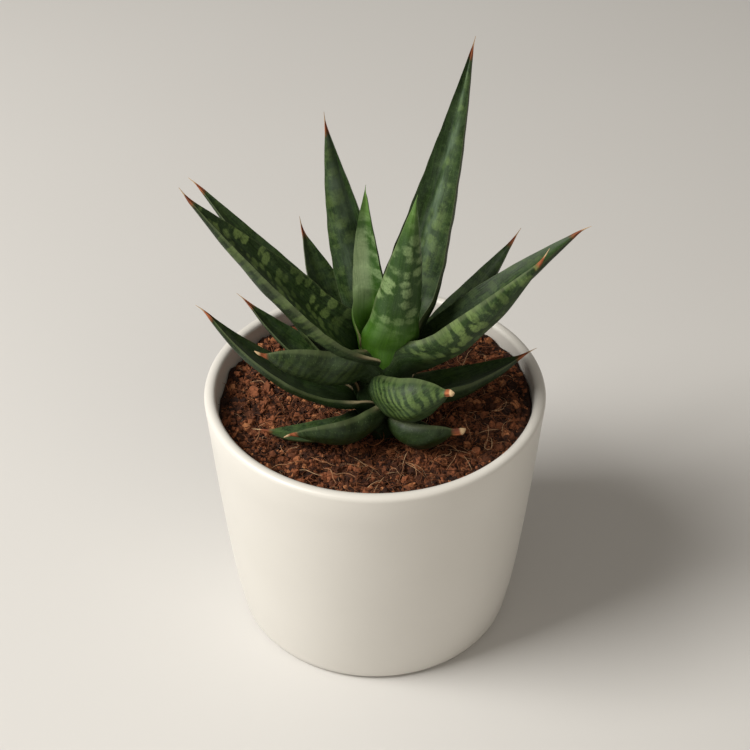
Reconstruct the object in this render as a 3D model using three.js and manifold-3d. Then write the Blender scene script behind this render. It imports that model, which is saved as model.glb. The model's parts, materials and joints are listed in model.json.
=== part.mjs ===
// A young snake plant in a round white pot: pot, soil, crown and leaves.
// Millimetres, +Z up. The origin is the middle of the pot's underside.

import * as THREE from 'three';
import { mergeVertices } from 'three/addons/utils/BufferGeometryUtils.js';
import Module from 'manifold-3d';

// Pot: the outside widens from the foot to the rim on one gentle curve.
const POT_RIM_RADIUS = 55;
const POT_FOOT_RADIUS = 45.5;
const POT_HEIGHT = 89;
const POT_WALL = 3.8;
const POT_FLOOR = 6;
const POT_FOOT_ROUND = 3;
const POT_LIP_ROUND = 1.6;
const POT_SIDE_BEND = 0.62;
const POT_SIDE_STEPS = 8;
const POT_ROUND_STEPS = 3;
const POT_SECTORS = 60;

// Soil: fills the pot, a little higher round the crown, clear of the wall.
const SOIL_BELOW_RIM = 7.5;
const SOIL_MOUND = 1;
const SOIL_GAP = 0.3;
const SOIL_RINGS = 4;
const SOIL_SECTORS = 40;

// Crown: the short stem that every leaf grows from.
const CROWN_RIGHT = 3;
const CROWN_BACK = -9;
const CROWN_RADIUS = 6;
const CROWN_HEIGHT = 32;
const CROWN_IN_SOIL = 12;
const CROWN_GAP = 0.3;
const CROWN_SECTORS = 20;

// Leaves: how a leaf meets the crown, and how its section is shaped.
const LEAF_GAP = 0.3;
const LEAF_STATIONS = 12;
const OUTER_POINTS = 6;
const INNER_POINTS = 4;
const NECK_WIDTH = 7;
const NECK_DEPTH = 2;
const CHANNEL_SHARE = 0.4;
const SPINE_WIDTH = 1.2;
const SPINE_END_WIDTH = 0.6;

// turn: where the leaf leaves the crown, in degrees round from the right.
// rise: how far up the crown that is. tip: right, back and up from the
// crown's foot. bow: how far the middle hangs outwards from the straight line.
// sweep: how far the middle swings to the leaf's own left. width, depth: the
// section where it is widest. widest: how far along that is. taper: how
// full the leaf stays towards its tip. roll: degrees the channel is turned.
// spine: how long the thin point at its end is.
const LEAVES = {
  leaf_tallest: {
    turn: 52, rise: 27, tip: [26, 31, 117.5], bow: 5.5, sweep: 1.5,
    width: 20, depth: 7, widest: 0.2, taper: 1.2, roll: 0, spine: 6,
  },
  leaf_back_left_tall: {
    turn: 114, rise: 25, tip: [-18, 17, 100], bow: 4, sweep: 0.2,
    width: 15, depth: 5, widest: 0.35, taper: 1.3, roll: 0, spine: 6,
  },
  leaf_left_long: {
    turn: 196, rise: 25.5, tip: [-59, -5, 88], bow: 1.3, sweep: 0,
    width: 18, depth: 8.5, widest: 0.35, taper: 1.4, roll: -18, spine: 6,
  },
  leaf_left_long_back: {
    turn: 156, rise: 22.5, tip: [-59, 23, 75.5], bow: 1.7, sweep: 0,
    width: 13, depth: 5, widest: 0.35, taper: 1.4, roll: 0, spine: 6,
  },
  leaf_left_under: {
    turn: 174, rise: 12.6, tip: [-34, 7, 43], bow: 1, sweep: 0,
    width: 9.5, depth: 3.2, widest: 0.4, taper: 1.6, roll: 0, spine: 3,
  },
  leaf_back_left_small: {
    turn: 132, rise: 16.5, tip: [-27.5, 36, 53], bow: 4, sweep: 0,
    width: 14, depth: 4, widest: 0.45, taper: 1.5, roll: 0, spine: 6,
  },
  leaf_young_left: {
    turn: 135, rise: 29.5, tip: [-6, 1, 85], bow: 2.5, sweep: 0,
    width: 10.5, depth: 4.5, widest: 0.3, taper: 1.4, roll: 0, spine: 4,
  },
  leaf_young_right: {
    turn: 278, rise: 28.5, tip: [9, -4, 86], bow: 3, sweep: 0,
    width: 14.5, depth: 6.5, widest: 0.3, taper: 1.5, roll: 0, spine: 4,
  },
  leaf_back_right: {
    turn: 40, rise: 15, tip: [43.5, 34, 50], bow: 3, sweep: 0,
    width: 12, depth: 4, widest: 0.4, taper: 1.5, roll: 0, spine: 6,
  },
  leaf_right_front: {
    turn: 312, rise: 22, tip: [47.5, -11, 71], bow: 3, sweep: 0,
    width: 16.5, depth: 7, widest: 0.36, taper: 1.7, roll: -22, spine: 6,
  },
  leaf_right_long: {
    turn: 12, rise: 21, tip: [61.5, 12, 65.5], bow: 0.3, sweep: 0,
    width: 13, depth: 6, widest: 0.4, taper: 1.5, roll: 0, spine: 6,
  },
  leaf_right_low: {
    turn: 350, rise: 9, tip: [47.5, 5, 24.5], bow: 3, sweep: 0,
    width: 12, depth: 6.5, widest: 0.4, taper: 1.6, roll: 0, spine: 6,
  },
  leaf_left_low: {
    turn: 212, rise: 9, tip: [-56, -3, 47], bow: 6.2, sweep: 0,
    width: 15, depth: 5, widest: 0.4, taper: 1.5, roll: -15, spine: 6,
  },
  leaf_left_low_back: {
    turn: 152, rise: 10, tip: [-46, 17, 37], bow: 4, sweep: 0,
    width: 11, depth: 4, widest: 0.4, taper: 1.5, roll: 0, spine: 6,
  },
  leaf_front_left: {
    turn: 236, rise: 20.5, tip: [-39, -14, 36.5], bow: 1, sweep: 0,
    width: 14.5, depth: 7.6, widest: 0.45, taper: 2.4, roll: 32, spine: 3,
  },
  leaf_front: {
    turn: 250, rise: 11.4, tip: [20.7, -24, 30], bow: 4, sweep: -2,
    width: 14.5, depth: 8.5, widest: 0.55, taper: 2.3, roll: -8, spine: 2,
  },
  leaf_bottom_left: {
    turn: 256, rise: 5.5, tip: [-30.8, -22.5, 12.2], bow: 0.5, sweep: 5,
    width: 13, depth: 7, widest: 0.42, taper: 2.4, roll: 28, spine: 3,
  },
  leaf_bottom_left_back: {
    turn: 214, rise: 2.4, tip: [-41.7, -8.5, 3], bow: -0.5, sweep: 6,
    width: 9.5, depth: 2.6, widest: 0.55, taper: 1.7, roll: 0, spine: 6,
  },
  leaf_bottom_right: {
    turn: 295, rise: 3.4, tip: [24.6, -20.5, 13], bow: 2.5, sweep: -5,
    width: 12, depth: 6.5, widest: 0.5, taper: 2.6, roll: -28, spine: 3,
  },
};

const FINISHES = {
  pot: { color: 0xece9e2, roughness: 0.45, metalness: 0 },
  soil: { color: 0x5a3423, roughness: 0.95, metalness: 0 },
  crown: { color: 0x6f8a3c, roughness: 0.6, metalness: 0 },
  leaf: { color: 0x33502f, roughness: 0.42, metalness: 0 },
};

const UP = new THREE.Vector3(0, 0, 1);
const mix = THREE.MathUtils.lerp;
const group = new THREE.Group();
group.name = 'potted_snake_plant';

const wasm = await Module();
wasm.setup();

function addPart(name, geometry, finish) {
  const mesh = new THREE.Mesh(geometry, new THREE.MeshStandardMaterial(FINISHES[finish]));
  mesh.name = name;
  group.add(mesh);
  return mesh;
}

// A closed solid from a three.js geometry, for cutting.
function toSolid(geometry) {
  const bare = geometry.clone();
  bare.deleteAttribute('normal');
  bare.deleteAttribute('uv');
  const merged = mergeVertices(bare, 1e-3);
  return new wasm.Manifold(new wasm.Mesh({
    numProp: 3,
    vertProperties: new Float32Array(merged.attributes.position.array),
    triVerts: new Uint32Array(merged.index.array),
  }));
}

function toGeometry(solid) {
  const mesh = solid.getMesh();
  const geometry = new THREE.BufferGeometry();
  geometry.setAttribute('position', new THREE.BufferAttribute(mesh.vertProperties, 3));
  geometry.setIndex(new THREE.BufferAttribute(mesh.triVerts, 1));
  return geometry;
}

// A solid of revolution about Z from points that run from the axis to the axis.
function turned(profile, sectors) {
  const geometry = new THREE.LatheGeometry(profile, sectors);
  geometry.rotateX(Math.PI / 2);
  return geometry;
}

// Radius of the pot's outside at a height, from the foot to the rim.
function potRadius(height) {
  const share = THREE.MathUtils.clamp(height / POT_HEIGHT, 0, 1);
  return mix(POT_FOOT_RADIUS, POT_RIM_RADIUS, Math.pow(share, POT_SIDE_BEND));
}

// Points of a quarter round, starting from one direction and turning left.
function quarterRound(centreR, centreZ, radius, fromDegrees) {
  const points = [];
  for (let i = 0; i <= POT_ROUND_STEPS; i += 1) {
    const angle = THREE.MathUtils.degToRad(fromDegrees + (90 * i) / POT_ROUND_STEPS);
    points.push(new THREE.Vector2(centreR + radius * Math.cos(angle), centreZ + radius * Math.sin(angle)));
  }
  return points;
}

function makePot() {
  const lipStart = POT_HEIGHT - POT_LIP_ROUND;
  const footEdge = potRadius(POT_FOOT_ROUND) - POT_FOOT_ROUND;
  const rimOutside = potRadius(POT_HEIGHT);
  const profile = [new THREE.Vector2(0, 0)];
  profile.push(...quarterRound(footEdge, POT_FOOT_ROUND, POT_FOOT_ROUND, 270));
  for (let i = 1; i < POT_SIDE_STEPS; i += 1) {
    const z = mix(POT_FOOT_ROUND, lipStart, i / POT_SIDE_STEPS);
    profile.push(new THREE.Vector2(potRadius(z), z));
  }
  profile.push(...quarterRound(rimOutside - POT_LIP_ROUND, lipStart, POT_LIP_ROUND, 0));
  profile.push(...quarterRound(rimOutside - POT_WALL + POT_LIP_ROUND, lipStart, POT_LIP_ROUND, 90));
  for (let i = POT_SIDE_STEPS - 1; i >= 0; i -= 1) {
    const z = mix(POT_FLOOR, lipStart, i / POT_SIDE_STEPS);
    profile.push(new THREE.Vector2(potRadius(z) - POT_WALL, z));
  }
  profile.push(new THREE.Vector2(0, POT_FLOOR));
  return turned(profile, POT_SECTORS);
}

// Height of the soil's surface at a distance from the pot's axis.
const soilEdge = potRadius(POT_HEIGHT - SOIL_BELOW_RIM) - POT_WALL - SOIL_GAP;
function soilHeight(distance) {
  const fall = 0.5 + 0.5 * Math.cos((Math.PI * distance) / soilEdge);
  return POT_HEIGHT - SOIL_BELOW_RIM + SOIL_MOUND * fall;
}

const crownFoot = new THREE.Vector3(
  CROWN_RIGHT,
  CROWN_BACK,
  soilHeight(Math.hypot(CROWN_RIGHT, CROWN_BACK)),
);

// Radius of the crown at a height above its foot: straight, then a round top.
function crownRadius(rise) {
  const intoTop = Math.max(0, rise - (CROWN_HEIGHT - CROWN_RADIUS));
  return Math.sqrt(Math.max(0, CROWN_RADIUS * CROWN_RADIUS - intoTop * intoTop));
}

// The crown's outline, from its lowest point in the soil to its rounded top.
function crownGeometry(grow) {
  const radius = CROWN_RADIUS + grow;
  const profile = [new THREE.Vector2(0, -CROWN_IN_SOIL - grow)];
  profile.push(new THREE.Vector2(radius * 0.5, -CROWN_IN_SOIL - grow));
  profile.push(new THREE.Vector2(radius, -CROWN_IN_SOIL * 0.5));
  profile.push(new THREE.Vector2(radius, CROWN_HEIGHT - CROWN_RADIUS));
  for (let i = 1; i <= 4; i += 1) {
    const angle = (Math.PI * i) / 8;
    const r = i === 4 ? 0 : radius * Math.cos(angle);
    profile.push(new THREE.Vector2(r, CROWN_HEIGHT - CROWN_RADIUS + radius * Math.sin(angle)));
  }
  const geometry = turned(profile, CROWN_SECTORS);
  geometry.translate(crownFoot.x, crownFoot.y, crownFoot.z);
  return geometry;
}

function makeSoil() {
  const bottom = POT_FLOOR + SOIL_GAP;
  const top = POT_HEIGHT - SOIL_BELOW_RIM;
  const profile = [new THREE.Vector2(0, bottom)];
  for (let i = 0; i < POT_SIDE_STEPS; i += 1) {
    const z = mix(bottom, top, i / POT_SIDE_STEPS);
    profile.push(new THREE.Vector2(potRadius(z) - POT_WALL - SOIL_GAP, z));
  }
  for (let i = SOIL_RINGS; i >= 0; i -= 1) {
    const distance = (soilEdge * i) / SOIL_RINGS;
    profile.push(new THREE.Vector2(distance, soilHeight(distance)));
  }
  const soil = toSolid(turned(profile, SOIL_SECTORS));
  return toGeometry(soil.subtract(toSolid(crownGeometry(CROWN_GAP))));
}

// The line along the middle of a leaf, with the directions across it.
function leafLine(leaf) {
  const turn = THREE.MathUtils.degToRad(leaf.turn);
  const outward = new THREE.Vector3(Math.cos(turn), Math.sin(turn), 0);
  const base = crownFoot.clone().addScaledVector(UP, leaf.rise);
  base.addScaledVector(outward, crownRadius(leaf.rise) + LEAF_GAP + 0.5 * NECK_DEPTH);
  const tip = crownFoot.clone().add(new THREE.Vector3(...leaf.tip));
  const along = tip.clone().sub(base).normalize();
  const side = new THREE.Vector3().crossVectors(UP, outward);
  side.addScaledVector(along, -along.dot(side)).normalize();
  const inward = new THREE.Vector3().crossVectors(along, side);
  const control = base.clone().lerp(tip, 0.5);
  control.addScaledVector(inward, -2 * leaf.bow);
  control.addScaledVector(side, 2 * leaf.sweep);
  return { curve: new THREE.QuadraticBezierCurve3(base, control, tip), side };
}

// Width and depth of a leaf at a share of its blade's length.
function leafSize(leaf, share) {
  if (share < leaf.widest) {
    const swell = Math.sin((0.5 * Math.PI * share) / leaf.widest);
    return { width: mix(NECK_WIDTH, leaf.width, swell), depth: mix(NECK_DEPTH, leaf.depth, swell) };
  }
  const past = (share - leaf.widest) / (1 - leaf.widest);
  const full = 1 - Math.pow(past, leaf.taper);
  return { width: mix(SPINE_WIDTH, leaf.width, full), depth: mix(SPINE_WIDTH, leaf.depth, full) };
}

// Points round a leaf's section: the full outer side, then the hollow inner side.
function leafSection(width, depth, hollow) {
  const points = [];
  for (let i = 0; i <= OUTER_POINTS; i += 1) {
    const angle = (Math.PI * i) / OUTER_POINTS;
    points.push([0.5 * width * Math.cos(angle), -depth * Math.sin(angle)]);
  }
  for (let i = 1; i <= INNER_POINTS; i += 1) {
    const across = -1 + (2 * i) / (INNER_POINTS + 1);
    points.push([0.5 * width * across, -hollow * (1 - across * across)]);
  }
  return points;
}

// A closed skin over rings of equal length, with a point at each end.
function skinned(rings, firstPole, lastPole) {
  const count = rings[0].length;
  const points = [firstPole, ...rings.flat(), lastPole];
  const last = points.length - 1;
  const faces = [];
  for (let i = 0; i < count; i += 1) {
    const j = (i + 1) % count;
    faces.push(0, 1 + i, 1 + j);
    for (let ring = 0; ring < rings.length - 1; ring += 1) {
      const here = 1 + ring * count;
      const next = here + count;
      faces.push(here + i, next + i, next + j);
      faces.push(here + i, next + j, here + j);
    }
    faces.push(last, last - count + j, last - count + i);
  }
  const geometry = new THREE.BufferGeometry().setFromPoints(points);
  geometry.setIndex(faces);
  return geometry;
}

function makeLeaf(leaf) {
  const { curve, side } = leafLine(leaf);
  const length = curve.getLength();
  const bladeShare = 1 - leaf.spine / length;
  const stations = [];
  for (let i = 0; i < LEAF_STATIONS; i += 1) {
    const share = i / (LEAF_STATIONS - 1);
    stations.push({ at: share * bladeShare, ...leafSize(leaf, share), hollow: 1 - share });
  }
  stations.push({ at: 0.5 * (1 + bladeShare), width: SPINE_END_WIDTH, depth: SPINE_END_WIDTH, hollow: 0 });
  const roll = THREE.MathUtils.degToRad(leaf.roll);
  const rings = stations.map(({ at, width, depth, hollow }) => {
    const centre = curve.getPointAt(at);
    const along = curve.getTangentAt(at);
    const across = side.clone().addScaledVector(along, -along.dot(side)).normalize();
    across.applyAxisAngle(along, roll);
    const inward = new THREE.Vector3().crossVectors(along, across);
    const channel = depth * CHANNEL_SHARE * Math.min(1, 3 * hollow);
    return leafSection(width, depth, channel).map(([x, y]) => (
      centre.clone().addScaledVector(across, x).addScaledVector(inward, y + 0.5 * depth)
    ));
  });
  const basePole = rings[0][0].clone().add(rings[0][OUTER_POINTS]).multiplyScalar(0.5);
  basePole.add(rings[0][OUTER_POINTS / 2]).multiplyScalar(0.5);
  return skinned(rings, basePole, curve.getPointAt(1));
}

addPart('pot', makePot(), 'pot');
addPart('soil', makeSoil(), 'soil');
addPart('crown', crownGeometry(0), 'crown');
for (const [name, leaf] of Object.entries(LEAVES)) {
  addPart(name, makeLeaf(leaf), 'leaf');
}

export default group;
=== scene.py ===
import json
import math
import random
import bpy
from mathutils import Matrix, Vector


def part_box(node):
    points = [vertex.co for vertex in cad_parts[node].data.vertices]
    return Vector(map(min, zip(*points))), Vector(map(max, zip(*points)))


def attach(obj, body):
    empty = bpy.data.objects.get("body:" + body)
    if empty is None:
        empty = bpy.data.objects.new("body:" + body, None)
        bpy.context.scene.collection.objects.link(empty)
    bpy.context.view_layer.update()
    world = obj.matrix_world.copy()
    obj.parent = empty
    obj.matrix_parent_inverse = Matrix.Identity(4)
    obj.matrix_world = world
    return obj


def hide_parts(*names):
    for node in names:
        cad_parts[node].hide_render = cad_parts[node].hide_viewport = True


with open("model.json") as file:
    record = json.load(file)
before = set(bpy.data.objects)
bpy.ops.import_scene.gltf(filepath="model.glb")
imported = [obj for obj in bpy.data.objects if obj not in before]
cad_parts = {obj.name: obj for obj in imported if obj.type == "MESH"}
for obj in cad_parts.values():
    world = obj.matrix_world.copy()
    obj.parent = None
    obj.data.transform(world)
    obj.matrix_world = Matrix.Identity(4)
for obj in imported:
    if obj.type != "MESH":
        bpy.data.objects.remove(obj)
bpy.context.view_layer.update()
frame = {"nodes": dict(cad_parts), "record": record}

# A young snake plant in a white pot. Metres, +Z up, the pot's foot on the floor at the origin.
from types import SimpleNamespace

import bmesh
import bpy
import numpy as np
from mathutils import Vector, noise

MM = 0.001
scene = bpy.context.scene

POT_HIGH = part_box("pot")[1]
SOIL_LOW, SOIL_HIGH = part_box("soil")
CROWN_LOW, CROWN_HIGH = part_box("crown")
RIM_RADIUS = POT_HIGH.x
SOIL_RADIUS = SOIL_HIGH.x
SOIL_TOP = SOIL_HIGH.z
CROWN_AXIS = 0.5 * (CROWN_LOW + CROWN_HIGH)
CROWN_RADIUS = 0.5 * (CROWN_HIGH.x - CROWN_LOW.x)

# How finely the pieces are cut up.
POT_TURNS = 160
LEAF_STATIONS = 120
LEAF_OUTER_STEPS = 22
LEAF_INNER_STEPS = 22
CROWN_RINGS = 26
CROWN_TURNS = 48
SOIL_RINGS = 60
SOIL_TURNS = 160
PATCH_RINGS = 24
PATCH_TURNS = 72
WELD = 0.01 * MM

# How a leaf clasps the crown: a broad sheath stands round the stem, then turns out into the blade.
SHEATH_LOW_RADIUS = 8.6 * MM
SHEATH_TOP_RADIUS = 6.4 * MM
SHEATH_FLARE = 0.6 * MM
SHEATH_HEIGHT = 8.0 * MM
SHEATH_DEPTH = 1.7 * MM
SHEATH_OPENS = 22.0 * MM
SHEATH_WIDTHS = (0.8, 0.92, 0.98)
LEAST_CURL = 1.0

# Blade and tip: the stations stand a little closer in the middle, and the dry point bends.
STATION_CROWDING = 0.035
DEEPEST_HOLLOW = 0.6
SPINE_END = 0.22 * MM
SPINE_BEND = 1.2 * MM
SPINE_SLIMNESS = 0.45
BLUNT_REACH = 0.4
BLUNT_DEPTH = 0.8
TIP_REACH = 0.1 * MM

# Soil: its body stays this much below the CAD's soil, as loose pieces lie on top of it. The
# longest fibres lie only to the right of the place where the right side starts.
SOIL_DROP = 1.2 * MM
RIGHT_SIDE_STARTS = -4.0 * MM
ROOT_THICKNESS = 0.24 * MM
ROOT_TINT = 0.92

# Looks that differ from leaf to leaf. Lengths in mm.
# bands: how strong the pale marks are. cells: how much they are rounded spots and not
# stripes. pitch: stripe spacing. pale: how pale they are. row: where across the leaf they
# are strongest, with 0 for everywhere. inner: how much of them the channel shows.
# youth: fresh green. wash: a pale wash over one half. sheen: how strong a painted grey
# highlight near the row is, over the bloom. under: how much painted shade darkens the
# outer side. brown: how dry the tip is. spine: length of the dry point. blunt: width of its
# end. crease: where across the channel is deepest, where a line of painted shade runs.
# groove: how deep it is, as a share of the depth. bulge: how far its broader side swells,
# which also sets how dark that painted shade is. twist: degrees that the blade turns round
# its length. clasp: how broad the sheath is, as a share of the blade.
PLAIN_LEAF = dict(
    bands=0.4, cells=0.6, pitch=4.2, pale=0.25, row=0.0, inner=1.0,
    youth=0.0, wash=0.0, painted_sheen=0.0, painted_under_shade=0.62, brown=1.0, spine=6.0, blunt=0.0,
    crease=0.0, groove=0.3, bulge=0.0, twist=0.0, clasp=0.9,
)
LEAF_LOOKS = {
    "leaf_tallest": dict(
        bands=0.85, cells=0.55, pitch=8.5, pale=0.45, row=-0.25, painted_sheen=0.6,
        crease=0.38, groove=0.6, bulge=0.9,
    ),
    "leaf_back_left_tall": dict(
        bands=0.9, cells=0.55, pitch=7.5, pale=0.6, row=0.25, painted_sheen=0.8,
        crease=-0.38, groove=0.6, bulge=0.9, twist=-35.0,
    ),
    "leaf_left_long": dict(
        bands=1.0, cells=1.0, pale=0.85, painted_under_shade=0.6, crease=-0.3, groove=0.4, clasp=1.1,
    ),
    "leaf_left_under": dict(bands=0.7, cells=0.8, pale=0.5, brown=0.0, spine=3.0),
    "leaf_young_left": dict(
        bands=0.6, cells=0.4, pitch=7.0, pale=1.0, youth=1.0, wash=1.0, brown=0.0, spine=4.0,
        twist=-65.0, clasp=1.25,
    ),
    "leaf_young_right": dict(
        bands=0.95, cells=0.85, pale=0.8, youth=0.6, brown=0.0, spine=4.0, clasp=1.3,
    ),
    "leaf_right_front": dict(
        bands=1.0, cells=1.0, pale=0.9, row=-0.65, inner=0.1, painted_under_shade=0.1,
        groove=0.5, twist=14.0, clasp=1.25,
    ),
    "leaf_right_long": dict(bands=0.35, cells=0.8, pale=0.3),
    "leaf_front": dict(
        bands=1.0, cells=0.0, pitch=2.3, pale=0.45, row=-0.35, painted_under_shade=0.1, spine=2.4, blunt=2.2,
        clasp=1.35,
    ),
    "leaf_front_left": dict(
        bands=0.8, cells=0.0, pitch=2.7, pale=0.3, spine=3.4, blunt=1.0, clasp=1.3,
    ),
    "leaf_bottom_left": dict(
        bands=0.4, cells=0.0, pitch=2.8, pale=0.1, spine=3.4, blunt=0.9, clasp=1.3,
    ),
    "leaf_bottom_right": dict(
        bands=0.3, cells=0.3, pale=0.15, spine=3.4, blunt=2.4, clasp=1.25,
    ),
    "leaf_right_low": dict(bands=0.35, cells=0.5, pale=0.05, clasp=1.15),
    "leaf_left_low": dict(clasp=1.2),
}

# A few pale roots that lie on the soil, in mm and degrees: where each starts, to the right
# and to the back, its heading, its length and how much it curls.
ROOTS = (
    (-38, -24, 70, 9, 0.25),
    (-22, -32, 200, 12, 0.5),
    (-20, -30, 300, 9, 0.6),
    (-16, -34, 320, 10, 0.3),
    (22, -36, 55, 8.5, 0.08),
    (30, -22, 100, 9, 0.4),
    (36, -10, 60, 10, 0.4),
    (-6, -40, 150, 11, 0.3),
    (12, -40, 20, 9, 0.5),
)


# ---------------------------------------------------------------- node trees

class Socket:
    """A value in a node tree. Sums with it add Math nodes to the tree."""

    def __init__(self, tree, socket):
        self.tree = tree
        self.socket = socket

    def math(self, operation, *others):
        return self.tree.add("ShaderNodeMath", {"operation": operation}, [self, *others])

    def __add__(self, other):
        return self.math("ADD", other)

    def __sub__(self, other):
        return self.math("SUBTRACT", other)

    def __mul__(self, other):
        return self.math("MULTIPLY", other)

    def __truediv__(self, other):
        return self.math("DIVIDE", other)

    def __pow__(self, other):
        return self.math("POWER", other)

    def __rsub__(self, other):
        return self.tree.add("ShaderNodeMath", {"operation": "SUBTRACT"}, [other, self])

    __radd__ = __add__
    __rmul__ = __mul__

    def between(self, low, high):
        """0 below low, 1 above high, and a soft step between them."""
        return self.tree.add(
            "ShaderNodeMapRange", {"interpolation_type": "SMOOTHSTEP"},
            {"Value": self, "From Min": low, "From Max": high},
        )


class Tree:
    """A node tree that is built by adding one node at a time."""

    def __init__(self, tree):
        self.nodes = tree.nodes
        self.links = tree.links

    def add(self, kind, settings=None, inputs=(), output=0):
        """Adds a node, sets and links its inputs, and gives back one of its outputs."""
        node = self.nodes.new(kind)
        for name, value in (settings or {}).items():
            setattr(node, name, value)
        pairs = inputs.items() if isinstance(inputs, dict) else enumerate(inputs)
        for name, value in pairs:
            if isinstance(value, Socket):
                self.links.new(value.socket, node.inputs[name])
            else:
                node.inputs[name].default_value = value
        return Socket(self, node.outputs[output])


class Finish(Tree):
    """A material whose nodes are added one at a time."""

    def __init__(self, name):
        self.material = bpy.data.materials.new(name)
        self.material.use_nodes = True
        super().__init__(self.material.node_tree)
        self.shader = self.nodes["Principled BSDF"]

    def set(self, name, value):
        if isinstance(value, Socket):
            self.links.new(value.socket, self.shader.inputs[name])
        else:
            self.shader.inputs[name].default_value = value

    def place(self):
        return self.add("ShaderNodeTexCoord", output=3)

    def attribute(self, name, output=2):
        return self.add("ShaderNodeAttribute", {"attribute_name": name}, output=output)

    def stretch(self, vector, scale, shift=(0, 0, 0)):
        return self.add("ShaderNodeMapping", {}, {"Vector": vector, "Scale": scale, "Location": shift})

    def noise(self, vector, scale=1.0, detail=2.0, roughness=0.5):
        settings = {"noise_dimensions": "3D"}
        inputs = {"Vector": vector, "Scale": scale, "Detail": detail, "Roughness": roughness}
        return self.add("ShaderNodeTexNoise", settings, inputs)

    def mix(self, share, first, second):
        return self.add("ShaderNodeMix", {"data_type": "RGBA"}, {0: share, 6: first, 7: second}, output=2)

    def bump(self, height, strength, distance):
        inputs = {"Height": height, "Strength": strength, "Distance": distance}
        self.set("Normal", self.add("ShaderNodeBump", {}, inputs))


def rgb(red, green, blue):
    """A colour as a screen shows it, 0 to 255, turned into the light it stands for."""
    def light(value):
        share = value / 255
        return share / 12.92 if share <= 0.04045 else ((share + 0.055) / 1.055) ** 2.4
    return (light(red), light(green), light(blue), 1.0)


# ---------------------------------------------------------------- finishes

def leaf_marks(look, spot, fine):
    """How pale the skin is at a place: stripes bent towards the tip, and rows of rounded spots."""
    across = look.add("ShaderNodeSeparateXYZ", {}, [spot], output=0)
    along = look.add("ShaderNodeSeparateXYZ", {}, [spot], output=1)
    drift = look.noise(look.stretch(spot, (0.09, 0.16, 1.0)), 1.0, 2.5)
    small_drift = look.noise(look.stretch(spot, (0.7, 0.5, 1.0), (3, 9, 0)), 1.0, 2.0)
    bent = along + across * across * 0.05 + drift * 7.0 + small_drift * 0.7
    stripes = (bent * (2 * math.pi) / look.attribute("pitch")).math("SINE") * 0.5 + 0.5
    stripes = stripes * 0.75 + look.noise(look.stretch(spot, (0.5, 0.9, 1.0)), 1.0, 2.0) * 0.4

    push = look.add("ShaderNodeCombineXYZ", {}, [small_drift * 0.5, drift * 0.9, 0.0])
    spaced = look.stretch(spot, (0.24, 0.3, 1.0))
    nudged = look.add("ShaderNodeVectorMath", {"operation": "ADD"}, [spaced, push])
    cells = look.add(
        "ShaderNodeTexVoronoi", {"feature": "SMOOTH_F1"},
        {"Vector": nudged, "Scale": 1.0, "Smoothness": 0.4, "Randomness": 0.55},
    )
    spots = 1 - cells.between(0.2, 0.72)
    share = look.attribute("cells")
    marks = stripes * (1 - share) + spots * share + (fine - 0.5) * 0.9

    # They fade in patches, towards the base and away from the row, and have ragged edges.
    patches = look.noise(look.stretch(spot, (0.14, 0.06, 1.0), (5, 2, 0)), 1.0, 1.0).between(0.3, 0.62)
    ragged = look.noise(look.stretch(spot, (1.6, 1.2, 1.0), (7, 1, 0)), 1.0, 3.0, 0.7).between(0.34, 0.58)
    up_leaf, youth = look.attribute("along"), look.attribute("youth")
    past_base = up_leaf.between(0.2, 0.42) * youth + up_leaf.between(0.04, 0.3) * (1 - youth)
    marks = marks.between(0.28, 0.84) * look.attribute("bands") * (patches * 0.65 + 0.35)
    return marks * look.attribute("row") * past_base * (ragged * 0.5 + 0.5)


def leaf_green(look, spot, marks, fine, streak):
    """The living skin's colour, from dark old green to the fresh green of a young leaf, with painted
    shade and a painted highlight.
    """
    along, youth = look.attribute("along"), look.attribute("youth")
    deep = look.mix(streak.between(0.3, 0.7), rgb(22, 38, 13), rgb(42, 64, 27))
    deep = look.mix(fine.between(0.45, 0.68) * 0.55, deep, rgb(58, 80, 40))
    pale = look.mix(look.attribute("pale"), rgb(58, 80, 28), rgb(124, 148, 84))
    old = look.mix(marks, deep, pale)
    young_deep = look.mix(streak, rgb(36, 66, 20), rgb(60, 96, 34))
    young = look.mix(marks, young_deep, rgb(150, 176, 124))
    colour = look.mix(youth, old, young)
    # Painted shade: the outer side of the older leaves is darker.
    colour = look.mix(look.attribute("painted_under_shade") * (1 - youth), colour, rgb(20, 30, 8))
    # Painted shade: a dark line along the channel's crease.
    colour = look.mix(look.attribute("painted_cleft_shade"), colour, rgb(16, 30, 12))

    washed = look.attribute("wash") * (streak.between(0.2, 0.6) * 0.5 + 0.5)
    colour = look.mix(washed * (fine * 0.6 + 0.5), colour, rgb(168, 190, 142))
    fresh = look.mix(streak, rgb(56, 104, 14), rgb(92, 144, 32))
    colour = look.mix((1 - along.between(0.08, 0.42)) * youth, colour, fresh)
    colour = look.mix(along.between(0.72, 0.95) * youth * 0.7, colour, rgb(104, 142, 62))
    # Painted shade towards the base of the older leaves, where they crowd into the crown.
    painted_base_shade = (1 - along.between(0.0, 0.26)) * (1 - youth) * 0.55
    colour = look.mix(painted_base_shade, colour, rgb(22, 36, 10))

    # A cloudy bloom, a painted grey highlight near the row, short pale flecks and a
    # thin pale margin.
    bloom = look.noise(look.stretch(spot, (0.35, 0.12, 1.0), (1, 4, 0)), 1.0, 2.0).between(0.35, 0.7)
    fleck = look.noise(look.stretch(spot, (4.2, 2.2, 1.0)), 1.0, 2.0, 0.7).between(0.58, 0.72)
    # Part the skin's own cloudy bloom, part a painted highlight near the row.
    bloom_and_painted_sheen = bloom * 0.07 + look.attribute("painted_sheen") * (bloom * 0.4 + 0.2)
    colour = look.mix(bloom_and_painted_sheen, colour, rgb(122, 142, 122))
    colour = look.mix(fleck * 0.3, colour, rgb(118, 142, 98))
    return look.mix(look.attribute("edge").between(0.96, 1.0) * 0.3, colour, rgb(112, 124, 84))


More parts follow.
